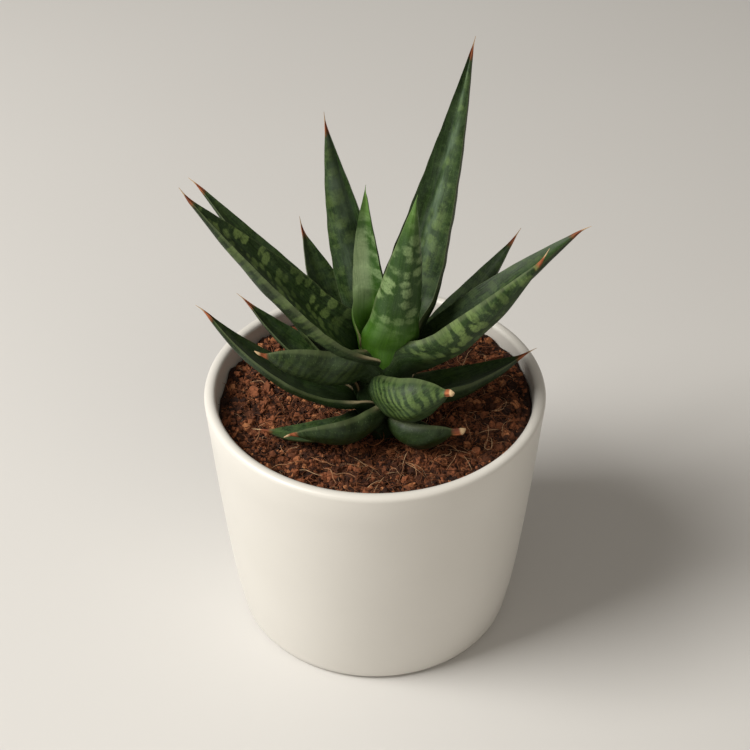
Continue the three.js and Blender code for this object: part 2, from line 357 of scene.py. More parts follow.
def leaf_finish():
    """Waxy green skin with paler marks, dry brown tip and papery margins at the base."""
    look = Finish("leaf_skin")
    spot = look.attribute("leaf_place", 1)
    fine = look.noise(look.stretch(spot, (1.1, 0.8, 1.0)), 1.0, 4.0, 0.68)
    streak = look.noise(look.stretch(spot, (2.2, 0.07, 1.0)), 1.0, 2.5)
    marks = leaf_marks(look, spot, fine)
    colour = leaf_green(look, spot, marks, fine, streak)

    dry = look.attribute("dry")
    papery = look.mix(streak.between(0.3, 0.7), rgb(138, 112, 78), rgb(212, 196, 160))
    colour = look.mix(dry, colour, papery)
    point, brown = look.attribute("point"), look.attribute("brown")
    scorch = (1 - (point + (fine - 0.5) * 0.5).between(0.85, 1.3)) * brown
    rusty = look.mix(streak.between(0.3, 0.7), rgb(92, 46, 30), rgb(164, 96, 60))
    colour = look.mix(scorch, colour, rusty)
    colour = look.mix((1 - point.between(0.3, 0.62)) * brown, colour, rgb(198, 170, 132))
    look.set("Base Color", colour)

    look.set("Roughness", 0.4 + fine * 0.16 + dry * 0.3 + scorch * 0.2 + marks * 0.06)
    look.set("Specular IOR Level", 0.2)
    look.bump(streak * 0.8 + fine * 0.35 + marks * 0.25, 0.4, 0.25 * MM)
    return look.material


def glaze_finish():
    """Smooth warm white glaze with a faint unevenness."""
    look = Finish("pot_glaze")
    place = look.place()
    cloud = look.noise(place, 28.0, 3.0)
    grain = look.noise(place, 900.0, 2.0)
    look.set("Base Color", look.mix(cloud, rgb(212, 209, 202), rgb(221, 218, 212)))
    look.set("Roughness", 0.36 + cloud * 0.1)
    look.set("Coat Weight", 0.15)
    look.set("Coat Roughness", 0.3)
    look.bump(grain * 0.3 + cloud, 0.12, 0.2 * MM)
    return look.material


def coir_finish(name, dark, light, pale):
    """Damp coir, brown to rust, tinted piece by piece."""
    look = Finish(name)
    place = look.place()
    tint = look.attribute("tint")
    cloud = look.noise(place, 60.0, 3.0)
    grain = look.noise(place, 900.0, 4.0, 0.7)
    colour = look.mix((tint * 0.7 + cloud * 0.3).between(0.15, 0.85), dark, light)
    colour = look.mix(tint.between(0.86, 1.0) * 0.7, colour, pale)
    colour = look.mix((1 - grain.between(0.3, 0.6)) * 0.5, colour, rgb(24, 12, 7))
    look.set("Base Color", colour)
    look.set("Roughness", 0.85 + grain * 0.12)
    look.set("Specular IOR Level", 0.3)
    look.bump(grain, 0.8, 0.5 * MM)
    return look.material


def crown_finish():
    """Green sheath bases, drying to tan in patches."""
    look = Finish("crown_sheaths")
    place = look.place()
    fibre = look.noise(look.stretch(place, (900.0, 900.0, 60.0)), 1.0, 3.0)
    cloud = look.noise(place, 160.0, 2.0)
    green = look.mix(fibre, rgb(40, 62, 26), rgb(84, 110, 48))
    look.set("Base Color", look.mix(cloud.between(0.5, 0.65), green, rgb(150, 128, 90)))
    look.set("Roughness", 0.55 + fibre * 0.2)
    look.bump(fibre, 0.6, 0.4 * MM)
    return look.material


def floor_finish():
    """Plain pale floor."""
    look = Finish("pale_floor")
    cloud = look.noise(look.place(), 3.0, 2.0)
    look.set("Base Color", look.mix(cloud, rgb(204, 202, 200), rgb(210, 209, 207)))
    look.set("Roughness", 0.7)
    return look.material


# ---------------------------------------------------------------- making pieces

def mesh_piece(name, points, faces, material, smooth=True):
    """An object from points and faces, in one finish."""
    mesh = bpy.data.meshes.new(name)
    mesh.from_pydata([tuple(p) for p in points], [], faces)
    mesh.validate()
    mesh.materials.append(material)
    if smooth:
        mesh.shade_smooth()
    else:
        mesh.shade_flat()
    piece = bpy.data.objects.new(name, mesh)
    scene.collection.objects.link(piece)
    return piece


def give(mesh, name, values):
    """Writes one number for each point of a mesh, for its finish to read."""
    attribute = mesh.attributes.new(name, "FLOAT", "POINT")
    attribute.data.foreach_set("value", np.asarray(values, np.float32).ravel())


def belongs(piece, slot, *nodes):
    """Hangs a finished piece on the root body, and hides the CAD nodes it stands for."""
    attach(piece, "root")
    if nodes:
        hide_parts(*nodes)


def smooth_step(value):
    """0 at 0 and below, 1 at 1 and above, and a soft step between them."""
    value = np.clip(value, 0.0, 1.0)
    return value * value * (3 - 2 * value)


def smooth_through(stations, values, wanted):
    """Values at the wanted stations, on a smooth curve through the given ones."""
    values = np.asarray(values, float)
    flat = values.reshape(len(values), -1)
    slope = np.gradient(flat, stations, axis=0)
    index = np.clip(np.searchsorted(stations, wanted) - 1, 0, len(stations) - 2)
    step = (stations[index + 1] - stations[index])[:, None]
    t = (wanted - stations[index])[:, None] / step
    first, last = flat[index], flat[index + 1]
    rise, fall = slope[index] * step, slope[index + 1] * step
    curve = (
        (2 * t**3 - 3 * t**2 + 1) * first + (t**3 - 2 * t**2 + t) * rise
        + (3 * t**2 - 2 * t**3) * last + (t**3 - t**2) * fall
    )
    return curve.reshape((len(wanted),) + values.shape[1:])


def unit(vectors):
    """The same directions, each with a length of 1."""
    return vectors / np.linalg.norm(vectors, axis=-1, keepdims=True)


# ---------------------------------------------------------------- pot

def pot_outline():
    """Radius and height of the pot's outline, read along one meridian of its CAD node."""
    bm = bmesh.new()
    bm.from_mesh(frame["nodes"]["pot"].data)
    bmesh.ops.remove_doubles(bm, verts=bm.verts, dist=WELD)
    slice_points = [v for v in bm.verts if abs(v.co.y) < WELD and v.co.x > -WELD]
    start = min(slice_points, key=lambda v: (v.co.x, v.co.z))
    outline, here, seen = [], start, set()
    while here:
        outline.append((here.co.x, here.co.z))
        seen.add(here)
        near = [e.other_vert(here) for e in here.link_edges]
        near = [v for v in near if v in slice_points and v not in seen]
        here = min(near, key=lambda v: (v.co - here.co).length) if near else None
    bm.free()
    return np.array(outline)


def make_pot():
    """The pot: its outline turned round the axis in fine steps."""
    outline = pot_outline()
    mesh = bpy.data.meshes.new("pot_outline")
    bm = bmesh.new()
    verts = [bm.verts.new((r, 0, z)) for r, z in outline]
    edges = [bm.edges.new(pair) for pair in zip(verts, verts[1:])]
    bmesh.ops.spin(
        bm, geom=verts + edges, axis=(0, 0, 1), cent=(0, 0, 0),
        angle=2 * math.pi, steps=POT_TURNS, use_merge=True,
    )
    bmesh.ops.remove_doubles(bm, verts=bm.verts, dist=WELD)
    bmesh.ops.recalc_face_normals(bm, faces=bm.faces)
    bm.to_mesh(mesh)
    bm.free()
    mesh.materials.append(glaze_finish())
    mesh.shade_smooth()
    pot = bpy.data.objects.new("glazed_pot", mesh)
    scene.collection.objects.link(pot)
    belongs(pot, "pot", "pot")


# ---------------------------------------------------------------- leaves

def leaf_rings(node):
    """The rings that a leaf's CAD skin runs through, from its base, and its tip."""
    bm = bmesh.new()
    bm.from_mesh(frame["nodes"][node].data)
    bmesh.ops.remove_doubles(bm, verts=bm.verts, dist=WELD)
    tip = max(bm.verts, key=lambda v: (v.co - CROWN_AXIS).length)
    layer, seen, rings = [tip], {tip}, []
    while layer:
        around = {e.other_vert(v) for v in layer for e in v.link_edges} - seen
        seen |= around
        layer = sorted(around, key=lambda v: v.index)
        if len(layer) > 2:
            rings.append(np.array([v.co for v in layer]))
    point = np.array(tip.co)
    bm.free()
    return rings[::-1], point


def leaf_form(node):
    """A leaf's middle line, with its directions and section sizes, read off its CAD node."""
    rings, tip = leaf_rings(node)
    across, middles, widths, acrosses = None, [], [], []
    for ring in rings:
        apart = ring[:, None, :] - ring[None, :, :]
        far = np.unravel_index(np.argmax((apart**2).sum(-1)), (len(ring), len(ring)))
        found = unit(apart[far])
        if across is not None:
            found = found * np.sign(found @ across)
            found = across if found @ across < 0.93 else found
        across = found
        shares = ring @ across
        first, last = ring[np.argmax(shares)], ring[np.argmin(shares)]
        middles.append(0.5 * (first + last))
        widths.append(np.ptp(shares))
        acrosses.append(across)
    middles, acrosses = np.array(middles), np.array(acrosses)
    alongs = unit(np.gradient(np.vstack([middles, tip]), axis=0))[:-1]
    inwards = unit(np.cross(alongs, acrosses))
    widest = int(np.argmax(widths))
    heights = (rings[widest] - middles[widest]) @ inwards[widest]
    if heights.max() > -heights.min():
        acrosses, inwards = -acrosses, -inwards
    depths, hollows = [], []
    for ring, middle, inward, width, across in zip(rings, middles, inwards, widths, acrosses):
        heights = (ring - middle) @ inward
        central = np.abs((ring - middle) @ across) < 0.3 * width
        depths.append(-heights.min())
        hollows.append(-heights[central].max())
    return middles, acrosses, np.array(widths), np.array(depths), np.array(hollows), tip


def leaf_section(crease, bulge):
    """Points round a section: share across, share of the depth, and whether it is in the channel."""
    points = []
    for i in range(LEAF_OUTER_STEPS + 1):
        angle = math.pi * i / LEAF_OUTER_STEPS
        rib = 1 + 0.02 * math.cos(9 * angle)
        down = -rib * max(math.sin(angle), 0.0) ** 0.9
        points.append((math.cos(angle), down, 0.0))
    for i in range(1, LEAF_INNER_STEPS):
        across = -math.cos(math.pi * i / LEAF_INNER_STEPS)
        reach = 1 - crease if across > crease else 1 + crease
        share = abs(across - crease) / reach
        swell = bulge * math.sin(math.pi * share) if reach > 1 else 0.0
        points.append((across, swell - (1 - share ** 1.45), 1.0))
    return np.array(points)


def with_sheath(form, clasp):
    """Adds a clasping sheath below a blade: stations with their directions, sizes and curl."""
    middles, acrosses, widths, depths, hollows, tip = form
    base, axis = middles[0], np.array(CROWN_AXIS)
    radial = np.append(unit(base[:2] - axis[:2]), 0.0)
    up = np.array([0.0, 0.0, 1.0])
    share = np.clip((base[2] - SOIL_TOP) / (CROWN_HIGH.z - SOIL_TOP), 0, 1)
    radius = SHEATH_LOW_RADIUS + (SHEATH_TOP_RADIUS - SHEATH_LOW_RADIUS) * share
    stem = np.array([axis[0], axis[1], base[2]])
    sheath = [
        stem + 0.9 * radius * radial - SHEATH_HEIGHT * up,
        stem + radius * radial - 0.55 * SHEATH_HEIGHT * up,
        stem + (radius + SHEATH_FLARE) * radial - 0.15 * SHEATH_HEIGHT * up,
    ]
    side = np.cross(-radial, up)
    count = len(sheath)
    middles = np.vstack([sheath, middles[1:], tip])
    acrosses = np.vstack([[side] * count, acrosses[1:], acrosses[-1:]])
    steps = np.linalg.norm(np.diff(middles, axis=0), axis=1)
    lengths = np.concatenate([[0.0], np.cumsum(steps)])
    opened = smooth_step((lengths - lengths[count - 1]) / SHEATH_OPENS)

    wide = widths.max()
    sheath_widths = wide * clasp * np.array(SHEATH_WIDTHS)
    widths = np.concatenate([sheath_widths, widths[1:], [SPINE_END]])
    low = np.arange(len(widths)) < count + int(np.argmax(widths[count:]))
    low[:count] = False
    widths[low] = np.maximum(widths[low], wide * (clasp + (1 - clasp) * opened[low]))
    depths = np.concatenate([[SHEATH_DEPTH] * count, depths[1:], [SPINE_END]])
    depths[low] = np.maximum(depths[low], SHEATH_DEPTH + (depths.max() - SHEATH_DEPTH) * opened[low])
    hollows = np.concatenate([[0.35 * SHEATH_DEPTH] * count, np.maximum(hollows[1:], 0), [0]])
    curls = (1 - opened) / radius
    return middles, acrosses, widths, depths, hollows, curls, lengths, lengths[count - 1]


def leaf_course(node, look):
    """A leaf from its sheath to its tip at many stations: places, directions and sizes."""
    form = with_sheath(leaf_form(node), look["clasp"])
    middles, acrosses, widths, depths, hollows, curls, lengths, blade_start = form
    share = np.linspace(0, 1, LEAF_STATIONS)
    at = lengths[-1] * (share + STATION_CROWDING * np.sin(2 * math.pi * share))
    middle = smooth_through(lengths, middles, at)
    along = unit(np.gradient(middle, axis=0))
    across = smooth_through(lengths, acrosses, at)
    across = unit(across - along * (across * along).sum(1, keepdims=True))
    inward = np.cross(along, across)
    opened = smooth_step((at - blade_start) / SHEATH_OPENS)
    twist = math.radians(look["twist"]) * opened[:, None]
    turned_across = across * np.cos(twist) + inward * np.sin(twist)
    turned_inward = inward * np.cos(twist) - across * np.sin(twist)
    width = np.maximum(smooth_through(lengths, widths, at), SPINE_END)
    depth = np.maximum(smooth_through(lengths, depths, at), SPINE_END)
    hollow = np.maximum(smooth_through(lengths, hollows, at), look["groove"] * opened * depth)
    return SimpleNamespace(
        share=share, at=at, from_tip=lengths[-1] - at, length=lengths[-1], blade_start=blade_start,
        middle=middle, along=along, across=turned_across, inward=turned_inward,
        width=width, depth=depth, hollow=np.clip(hollow, 0, DEEPEST_HOLLOW * depth),
        curl=np.clip(np.interp(at, lengths, curls), 0, None),
    )


def shape_point(course, look):
    """Rounds off the leaf's dry end where it is blunt, and draws it out where it is sharp."""
    spine = look["spine"] * MM
    if look["blunt"]:
        rounding = np.sqrt(np.clip(course.from_tip / (BLUNT_REACH * spine), 0, 1))
        blunt = look["blunt"] * MM * rounding
        course.width = np.maximum(course.width, blunt)
        course.depth = np.maximum(course.depth, BLUNT_DEPTH * blunt)
    else:
        slim = SPINE_SLIMNESS + (1 - SPINE_SLIMNESS) * smooth_step(course.from_tip / spine)
        course.width = course.width * slim
        course.depth = course.depth * slim


def leaf_ring(course, i, section, sway):
    """The points of one section, curled round the stem where the sheath clasps it."""
    mm_at = course.at[i] / MM
    wide = 1 + 0.012 * math.sin(mm_at * 0.41 + sway[0]) + 0.008 * math.sin(mm_at * 0.9 + sway[1])
    deep = 1 + 0.03 * math.sin(mm_at * 0.33 + sway[2])
    x = 0.5 * course.width[i] * section[:, 0] * wide
    y = np.where(section[:, 2] > 0, course.hollow[i], course.depth[i]) * section[:, 1] * deep
    curl = course.curl[i]
    if curl > LEAST_CURL:
        turn, reach = x * curl, 1 / curl - y
        x, y = np.sin(turn) * reach, 1 / curl - np.cos(turn) * reach
    return course.middle[i] + x[:, None] * course.across[i] + y[:, None] * course.inward[i]


def leaf_faces(count):
    """Faces of a closed skin over a leaf's rings, with a point at each end."""
    faces = []
    last = 1 + LEAF_STATIONS * count
    for i in range(count):
        j = (i + 1) % count
        faces.append((0, 1 + i, 1 + j))
        for ring in range(LEAF_STATIONS - 1):
            here = 1 + ring * count
            faces.append((here + i, here + count + i, here + count + j, here + j))
        faces.append((last, last - count + j, last - count + i))
    return faces


def sharpen_margins(mesh, count):
    """Turns a leaf's faces outwards and keeps its two margins crisp."""
    bm = bmesh.new()
    bm.from_mesh(mesh)
    bmesh.ops.recalc_face_normals(bm, faces=bm.faces)
    sides = (0, LEAF_OUTER_STEPS)
    margins = {1 + ring * count + side for ring in range(LEAF_STATIONS) for side in sides}
    for edge in bm.edges:
        first, second = edge.verts[0].index, edge.verts[1].index
        if {first, second} <= margins and abs(first - second) == count:
            edge.smooth = False
    bm.to_mesh(mesh)
    bm.free()


def give_places(mesh, course, section, number):
    """Writes each point's place: mm across, mm along, and a layer for each leaf and side."""
    across = 0.5 * course.width[:, None] / MM * section[:, 0]
    along = np.broadcast_to(course.at[:, None] / MM, across.shape)
    layer = np.broadcast_to(number * 11.0 + 5 * section[:, 2], across.shape)
    rings = np.stack([across, along, layer], 2).reshape(-1, 3)
    place = np.vstack([rings[:1], rings, rings[-len(section):][:1]])
    attribute = mesh.attributes.new("leaf_place", "FLOAT_VECTOR", "POINT")
    attribute.data.foreach_set("vector", place.astype(np.float32).ravel())


def give_leaf_looks(mesh, course, section, look):
    """Writes what the leaf finish reads at each point."""
    count = len(section)
    x, inside = section[:, 0], section[:, 2]

    def per_ring(values):
        return np.concatenate([[values[0]], np.repeat(values, count), [values[-1]]])

    def per_point(values):
        return np.concatenate([[values[0]], np.tile(values, LEAF_STATIONS), [values[0]]])

    def near(place, reach):
        return np.exp(-(((x - place) / reach) ** 2))

    blade_length = course.length - course.blade_start
    past_sheath = course.at - course.blade_start
    edge = per_point(np.abs(x))
    give(mesh, "along", per_ring(np.clip(past_sheath / blade_length, 0, 1)))
    give(mesh, "edge", edge)
    give(mesh, "point", per_ring(course.from_tip / MM / look["spine"]))
    papery = per_ring(1 - smooth_step((past_sheath / MM - 2) / 9))
    give(mesh, "dry", 0.8 * papery * smooth_step((edge - 0.95) / 0.04))
    # How much painted shade darkens the outer side.
    give(mesh, "painted_under_shade", look["painted_under_shade"] * per_point(1 - inside))
    row = near(look["row"], 0.6) if look["row"] else np.ones(count)
    give(mesh, "row", per_point(row * np.where(inside > 0, look["inner"], 1.0)))
    # Where the painted highlight lies, near the row.
    give(mesh, "painted_sheen", look["painted_sheen"] * per_point(near(0.4 * look["row"], 0.36)))
    # Where the line of painted shade runs along the crease.
    give(mesh, "painted_cleft_shade", 0.75 * look["bulge"] * per_point(near(look["crease"], 0.1) * inside))
    middle_part = smooth_step(course.share * 6 - 1) * smooth_step(5 - course.share * 6)
    give(mesh, "wash", look["wash"] * per_point(smooth_step(0.5 + 1.4 * x)) * per_ring(middle_part))
    for name in ("bands", "cells", "pitch", "pale", "youth", "brown"):
        give(mesh, name, np.full(len(edge), look[name]))


def make_leaf(node, material, number):
    """One leaf: its sheath, its blade and its dry point, as one closed skin."""
    look = {**PLAIN_LEAF, **LEAF_LOOKS.get(node, {})}
    course = leaf_course(node, look)
    shape_point(course, look)
    rng = np.random.default_rng(number)
    sway = rng.uniform(0, 2 * math.pi, 3)
    into_spine = np.clip(1 - course.from_tip / (look["spine"] * MM), 0, 1)
    bend = rng.uniform(-SPINE_BEND, SPINE_BEND) * into_spine ** 2
    course.middle = course.middle + course.inward * bend[:, None]

    section = leaf_section(look["crease"], look["bulge"])
    rings = [leaf_ring(course, i, section, sway) for i in range(LEAF_STATIONS)]
    foot = rings[0].mean(0)
    end = rings[-1].mean(0) + TIP_REACH * course.along[-1]
    points = np.vstack([foot, *rings, end])
    faces = leaf_faces(len(section))
    leaf = mesh_piece(node.replace("leaf_", "blade_"), points, faces, material)
    sharpen_margins(leaf.data, len(section))
    give_places(leaf.data, course, section, number)
    give_leaf_looks(leaf.data, course, section, look)
    return leaf


def make_leaves():
    """All the leaves, each in the place of its CAD node."""
    skin = leaf_finish()
    slots = {part["node"]: part["material_slot"] for part in frame["record"]["subparts"]}
    names = sorted(name for name in frame["nodes"] if name.startswith("leaf_"))
    for number, node in enumerate(names, 1):
        leaf = make_leaf(node, skin, number)
        belongs(leaf, slots[node], node)


def make_crown():
    """The short stem, with a few ridges where old sheaths came away."""
    turns = CROWN_TURNS
    points, faces = [], []
    for i in range(CROWN_RINGS + 1):
        share = i / CROWN_RINGS
        z = CROWN_LOW.z + (CROWN_HIGH.z - CROWN_LOW.z) * share
        round_top = math.sqrt(max(0.0, 1 - max(0.0, (share - 0.86) / 0.14) ** 2))
        for j in range(turns):
            angle = 2 * math.pi * j / turns
            ridge = 1 + 0.05 * math.sin(share * 60 + angle) + 0.04 * math.sin(5 * angle + share * 9)
            radius = CROWN_RADIUS * ridge * max(round_top, 0.05) * 0.93
            x = CROWN_AXIS.x + radius * math.cos(angle)
            y = CROWN_AXIS.y + radius * math.sin(angle)
            points.append((x, y, z))
    for i in range(CROWN_RINGS):
        here, there = i * turns, (i + 1) * turns
        for j in range(turns):
            k = (j + 1) % turns
            faces.append((here + j, here + k, there + k, there + j))
    faces.append(tuple(range(turns))[::-1])
    faces.append(tuple(CROWN_RINGS * turns + j for j in range(turns)))
    crown = mesh_piece("crown_stem", points, faces, crown_finish())
    belongs(crown, "crown", "crown")


# ---------------------------------------------------------------- soil

def soil_rise(x, y):
    """How far the soil's surface stands above or below its mean level at a place."""
    spot = Vector((x, y, 0.0)) * 95.0
    clumps = noise.fractal(spot, 0.9, 2.1, 4) * 2.3
    ridges = abs(noise.noise(spot * 2.3 + Vector((4.0, 1.0, 7.0)))) * 1.6
    banked = float(smooth_step((math.hypot(x, y) / SOIL_RADIUS - 0.6) / 0.4))
    lean = 1.4 * x / SOIL_RADIUS + 0.6 * y / SOIL_RADIUS
    return (clumps + ridges + lean + 0.9 * banked) * MM


def ring_points(radius, turns, height):
    """Points round the pot's axis at a radius, at a height worked out for each place."""
    points = []
    for j in range(turns):
        angle = 2 * math.pi * j / turns
        x, y = radius * math.cos(angle), radius * math.sin(angle)
        points.append((x, y, height(x, y)))
    return points


def soil_level(x, y):
    """Height of the soil body's top at a place."""
    return SOIL_TOP - SOIL_DROP + soil_rise(x, y)


def make_soil(material):
    """The body of the soil: an uneven top, and a smooth side that stays inside the pot."""
    turns = SOIL_TURNS
    points = [(0, 0, SOIL_TOP + soil_rise(0, 0))]
    for i in range(1, SOIL_RINGS + 1):
        points += ring_points(SOIL_RADIUS * i / SOIL_RINGS, turns, soil_level)
    points += ring_points(0.86 * SOIL_RADIUS, turns, lambda x, y: SOIL_LOW.z + 2 * MM)
    points += ring_points(0.82 * SOIL_RADIUS, turns, lambda x, y: SOIL_LOW.z)
    points.append((0, 0, SOIL_LOW.z))
    faces = [(0, 1 + j, 1 + (j + 1) % turns) for j in range(turns)]
    for i in range(SOIL_RINGS + 1):
        here, there = 1 + i * turns, 1 + (i + 1) * turns
        for j in range(turns):
            k = (j + 1) % turns
            faces.append((here + j, there + j, there + k, here + k))
    last = len(points) - 1
    faces += [(last, last - turns + (j + 1) % turns, last - turns + j) for j in range(turns)]
    soil = mesh_piece("soil_body", points, faces, material)
    rng = np.random.default_rng(4)
    give(soil.data, "tint", rng.uniform(0.0, 0.4, len(points)))
    belongs(soil, "soil", "soil")


def lump_shape(name, seed, squash, detail=1):
    """One rough granule of unit size. Each step of detail has four times as many faces."""
    bm = bmesh.new()
    bmesh.ops.create_icosphere(bm, subdivisions=detail, radius=0.5)
    rng = random.Random(seed)
    shift = Vector((rng.uniform(0, 50), rng.uniform(0, 50), rng.uniform(0, 50)))
    for vert in bm.verts:
        rough = noise.noise(vert.co * 3.1 + shift) * 0.55 + noise.noise(vert.co * 7.7 + shift) * 0.35
        vert.co *= 1 + rough + rng.uniform(-0.22, 0.22)
        vert.co.z *= squash
        vert.co.x *= 1.2
    mesh = bpy.data.meshes.new(name)
    bm.to_mesh(mesh)
    bm.free()
    mesh.shade_flat()
    return bpy.data.objects.new(name, mesh)


def thread(line, thickness, sides=3):
    """Points and faces of a thin round thread along a line, finer towards its ends."""
    points, faces = [], []
    for i, here in enumerate(line):
        along = (line[min(i + 1, len(line) - 1)] - line[max(i - 1, 0)]).normalized()
        aside = along.cross(Vector((0.13, 0.31, 0.94))).normalized()
        above = along.cross(aside)
        from_middle = abs(2 * i / (len(line) - 1) - 1)
        radius = 0.5 * thickness * (1 - 0.75 * from_middle ** 3)
        for j in range(sides):
            angle = 2 * math.pi * j / sides
            points.append(here + radius * (math.cos(angle) * aside + math.sin(angle) * above))
    last = (len(line) - 1) * sides
    for i in range(0, last, sides):
        for j in range(sides):
            k = (j + 1) % sides
            faces.append((i + j, i + k, i + sides + k, i + sides + j))
    faces.append(tuple(range(sides))[::-1])
    faces.append(tuple(last + j for j in range(sides)))
    return points, faces


def wandering_line(seed, steps, curl, climb):
    """A line of about unit length that wanders sideways, and up and down a little."""
    rng = random.Random(seed)
    heading, turn, points = rng.uniform(-0.5, 0.5), 0.0, [Vector((-0.5, 0.0, 0.0))]
    for i in range(steps):
        turn = 0.7 * turn + rng.uniform(-curl, curl)
        heading += turn
        lift = climb * math.cos(math.pi * (i + 0.5) / steps)
        points.append(points[-1] + Vector((math.cos(heading), math.sin(heading), lift)) / steps)
    return points


def hair_shape(name, seed, curl, thickness):
    """One wandering fibre of about unit length."""
    points, faces = thread(wandering_line(seed, 8, curl, 0.35), thickness)
    mesh = bpy.data.meshes.new(name)
    mesh.from_pydata([tuple(p) for p in points], [], faces)
    mesh.shade_smooth()
    return bpy.data.objects.new(name, mesh)


def scatter_inputs(group):
    """Names what a strewing tree is given, and hands those values back as sockets."""
    face = group.interface
    face.new_socket("Surface", in_out="INPUT", socket_type="NodeSocketGeometry")
    for name in ("Per Area", "Smallest", "Largest", "Sink", "Tilt"):
        face.new_socket(name, in_out="INPUT", socket_type="NodeSocketFloat")
    face.new_socket("Seed", in_out="INPUT", socket_type="NodeSocketInt")
    face.new_socket("Pieces", in_out="OUTPUT", socket_type="NodeSocketGeometry")
    tree = Tree(group)
    given = group.nodes.new("NodeGroupInput")
    return tree, {socket.name: Socket(tree, socket) for socket in given.outputs if socket.name}


def random_share(tree, seed):
    """A random number from 0 to 1 for each point or instance."""
    inputs = {2: 0.0, 3: 1.0, "Seed": seed}
    return tree.add("FunctionNodeRandomValue", {"data_type": "FLOAT"}, inputs, output=1)


def scatter_tree(shapes, material):
    """Geometry nodes that strew the shapes over a surface, each with a size, a turn and a tint."""
    group = bpy.data.node_groups.new("strew_over_soil", "GeometryNodeTree")
    tree, given = scatter_inputs(group)
    seed, tilt = given["Seed"], given["Tilt"]
    points = tree.add(
        "GeometryNodeDistributePointsOnFaces", {},
        {"Mesh": given["Surface"], "Density": given["Per Area"], "Seed": seed},
    )
    most = tree.add("ShaderNodeCombineXYZ", {}, [tilt, tilt, 3.2])
    least = tree.add("ShaderNodeVectorMath", {"operation": "SCALE"}, {0: most, "Scale": -1.0})
    turn = tree.add(
        "FunctionNodeRandomValue", {"data_type": "FLOAT_VECTOR"}, {0: least, 1: most, "Seed": seed},
    )
    mostly_small = random_share(tree, seed + 7) ** 2.2
    size = given["Smallest"] + (given["Largest"] - given["Smallest"]) * mostly_small
    pool = tree.add(
        "GeometryNodeCollectionInfo", {"transform_space": "ORIGINAL"},
        {"Collection": shapes, "Separate Children": True, "Reset Children": True},
    )
    placed = tree.add(
        "GeometryNodeInstanceOnPoints", {},
        {"Points": points, "Instance": pool, "Pick Instance": True, "Rotation": turn, "Scale": size},
    )
    drop = tree.add("ShaderNodeCombineXYZ", {}, [0.0, 0.0, given["Sink"] * -1.0])
    sunk = tree.add(
        "GeometryNodeTranslateInstances", {},
        {"Instances": placed, "Translation": drop, "Local Space": False},
    )
    tinted = tree.add(
        "GeometryNodeStoreNamedAttribute", {"data_type": "FLOAT", "domain": "INSTANCE"},
        {"Geometry": sunk, "Name": "tint", "Value": random_share(tree, seed + 13)},
    )
    real = tree.add("GeometryNodeRealizeInstances", {}, [tinted])
    done = tree.add("GeometryNodeSetMaterial", {}, {"Geometry": real, "Material": material})
    tree.links.new(done.socket, group.nodes.new("NodeGroupOutput").inputs[0])
    return group


def soil_patch(clear, right_side_only):
    """A plain copy of the soil's top to strew pieces over, kept clear of the pot's wall."""
    points, faces = [], []
    for i in range(PATCH_RINGS + 1):
        points += ring_points((SOIL_RADIUS - clear) * i / PATCH_RINGS, PATCH_TURNS, soil_level)
    for i in range(PATCH_RINGS):
        here, there = i * PATCH_TURNS, (i + 1) * PATCH_TURNS
        for j in range(PATCH_TURNS):
            k = (j + 1) % PATCH_TURNS
            if not right_side_only or points[here + j][0] > RIGHT_SIDE_STARTS:
                faces.append((here + j, there + j, there + k, here + k))
    mesh = bpy.data.meshes.new("patch")
    mesh.from_pydata(points, [], faces)
    patch = bpy.data.objects.new("patch", mesh)
    scene.collection.objects.link(patch)
    return patch


def strewn(name, shapes, material, right_side_only=False, **sizes):
    """A piece of many small shapes strewn over the soil."""
    pool = bpy.data.collections.new(name + "_shapes")
    for shape in shapes:
        pool.objects.link(shape)
    tree = scatter_tree(pool, material)
    patch = soil_patch(0.5 * sizes["largest"], right_side_only)
    modifier = patch.modifiers.new("strew", "NODES")
    modifier.node_group = tree
    items = tree.interface.items_tree
    names = {item.name: item.identifier for item in items if item.in_out == "INPUT"}
    for key, value in sizes.items():
        modifier[names[key.replace("_", " ").title()]] = value
    evaluated = patch.evaluated_get(bpy.context.evaluated_depsgraph_get())
    mesh = bpy.data.meshes.new_from_object(evaluated)
    mesh.name = name
    piece = bpy.data.objects.new(name, mesh)
    scene.collection.objects.link(piece)
    bpy.data.objects.remove(patch)
    for shape in shapes:
        bpy.data.objects.remove(shape)
    bpy.data.collections.remove(pool)
    belongs(piece, "soil")


def root_line(x, y, heading, length, curl, seed):
    """The line of one root over the soil's rises and dips."""
    turn = math.radians(heading)
    line = []
    for spot in wandering_line(seed, 18, 0.5 * curl, 0.3):
        out, aside = (spot.x + 0.5) * length, spot.y * length
        right = (x + out * math.cos(turn) - aside * math.sin(turn)) * MM
        back = (y + out * math.sin(turn) + aside * math.cos(turn)) * MM
        height = SOIL_TOP + 1.6 * MM + 0.4 * soil_rise(right, back) + spot.z * length * MM
        line.append(Vector((right, back, height)))
    return line


def make_roots(material):
    """The few pale roots on the soil, as one piece."""
    points, faces = [], []
    for number, root in enumerate(ROOTS):
        line = root_line(*root, seed=60 + number)
        root_points, root_faces = thread(line, ROOT_THICKNESS, sides=6)
        faces += [tuple(len(points) + i for i in face) for face in root_faces]
        points += root_points
    roots = mesh_piece("pale_roots", points, faces, material)
    give(roots.data, "tint", np.full(len(points), ROOT_TINT))
    belongs(roots, "soil")


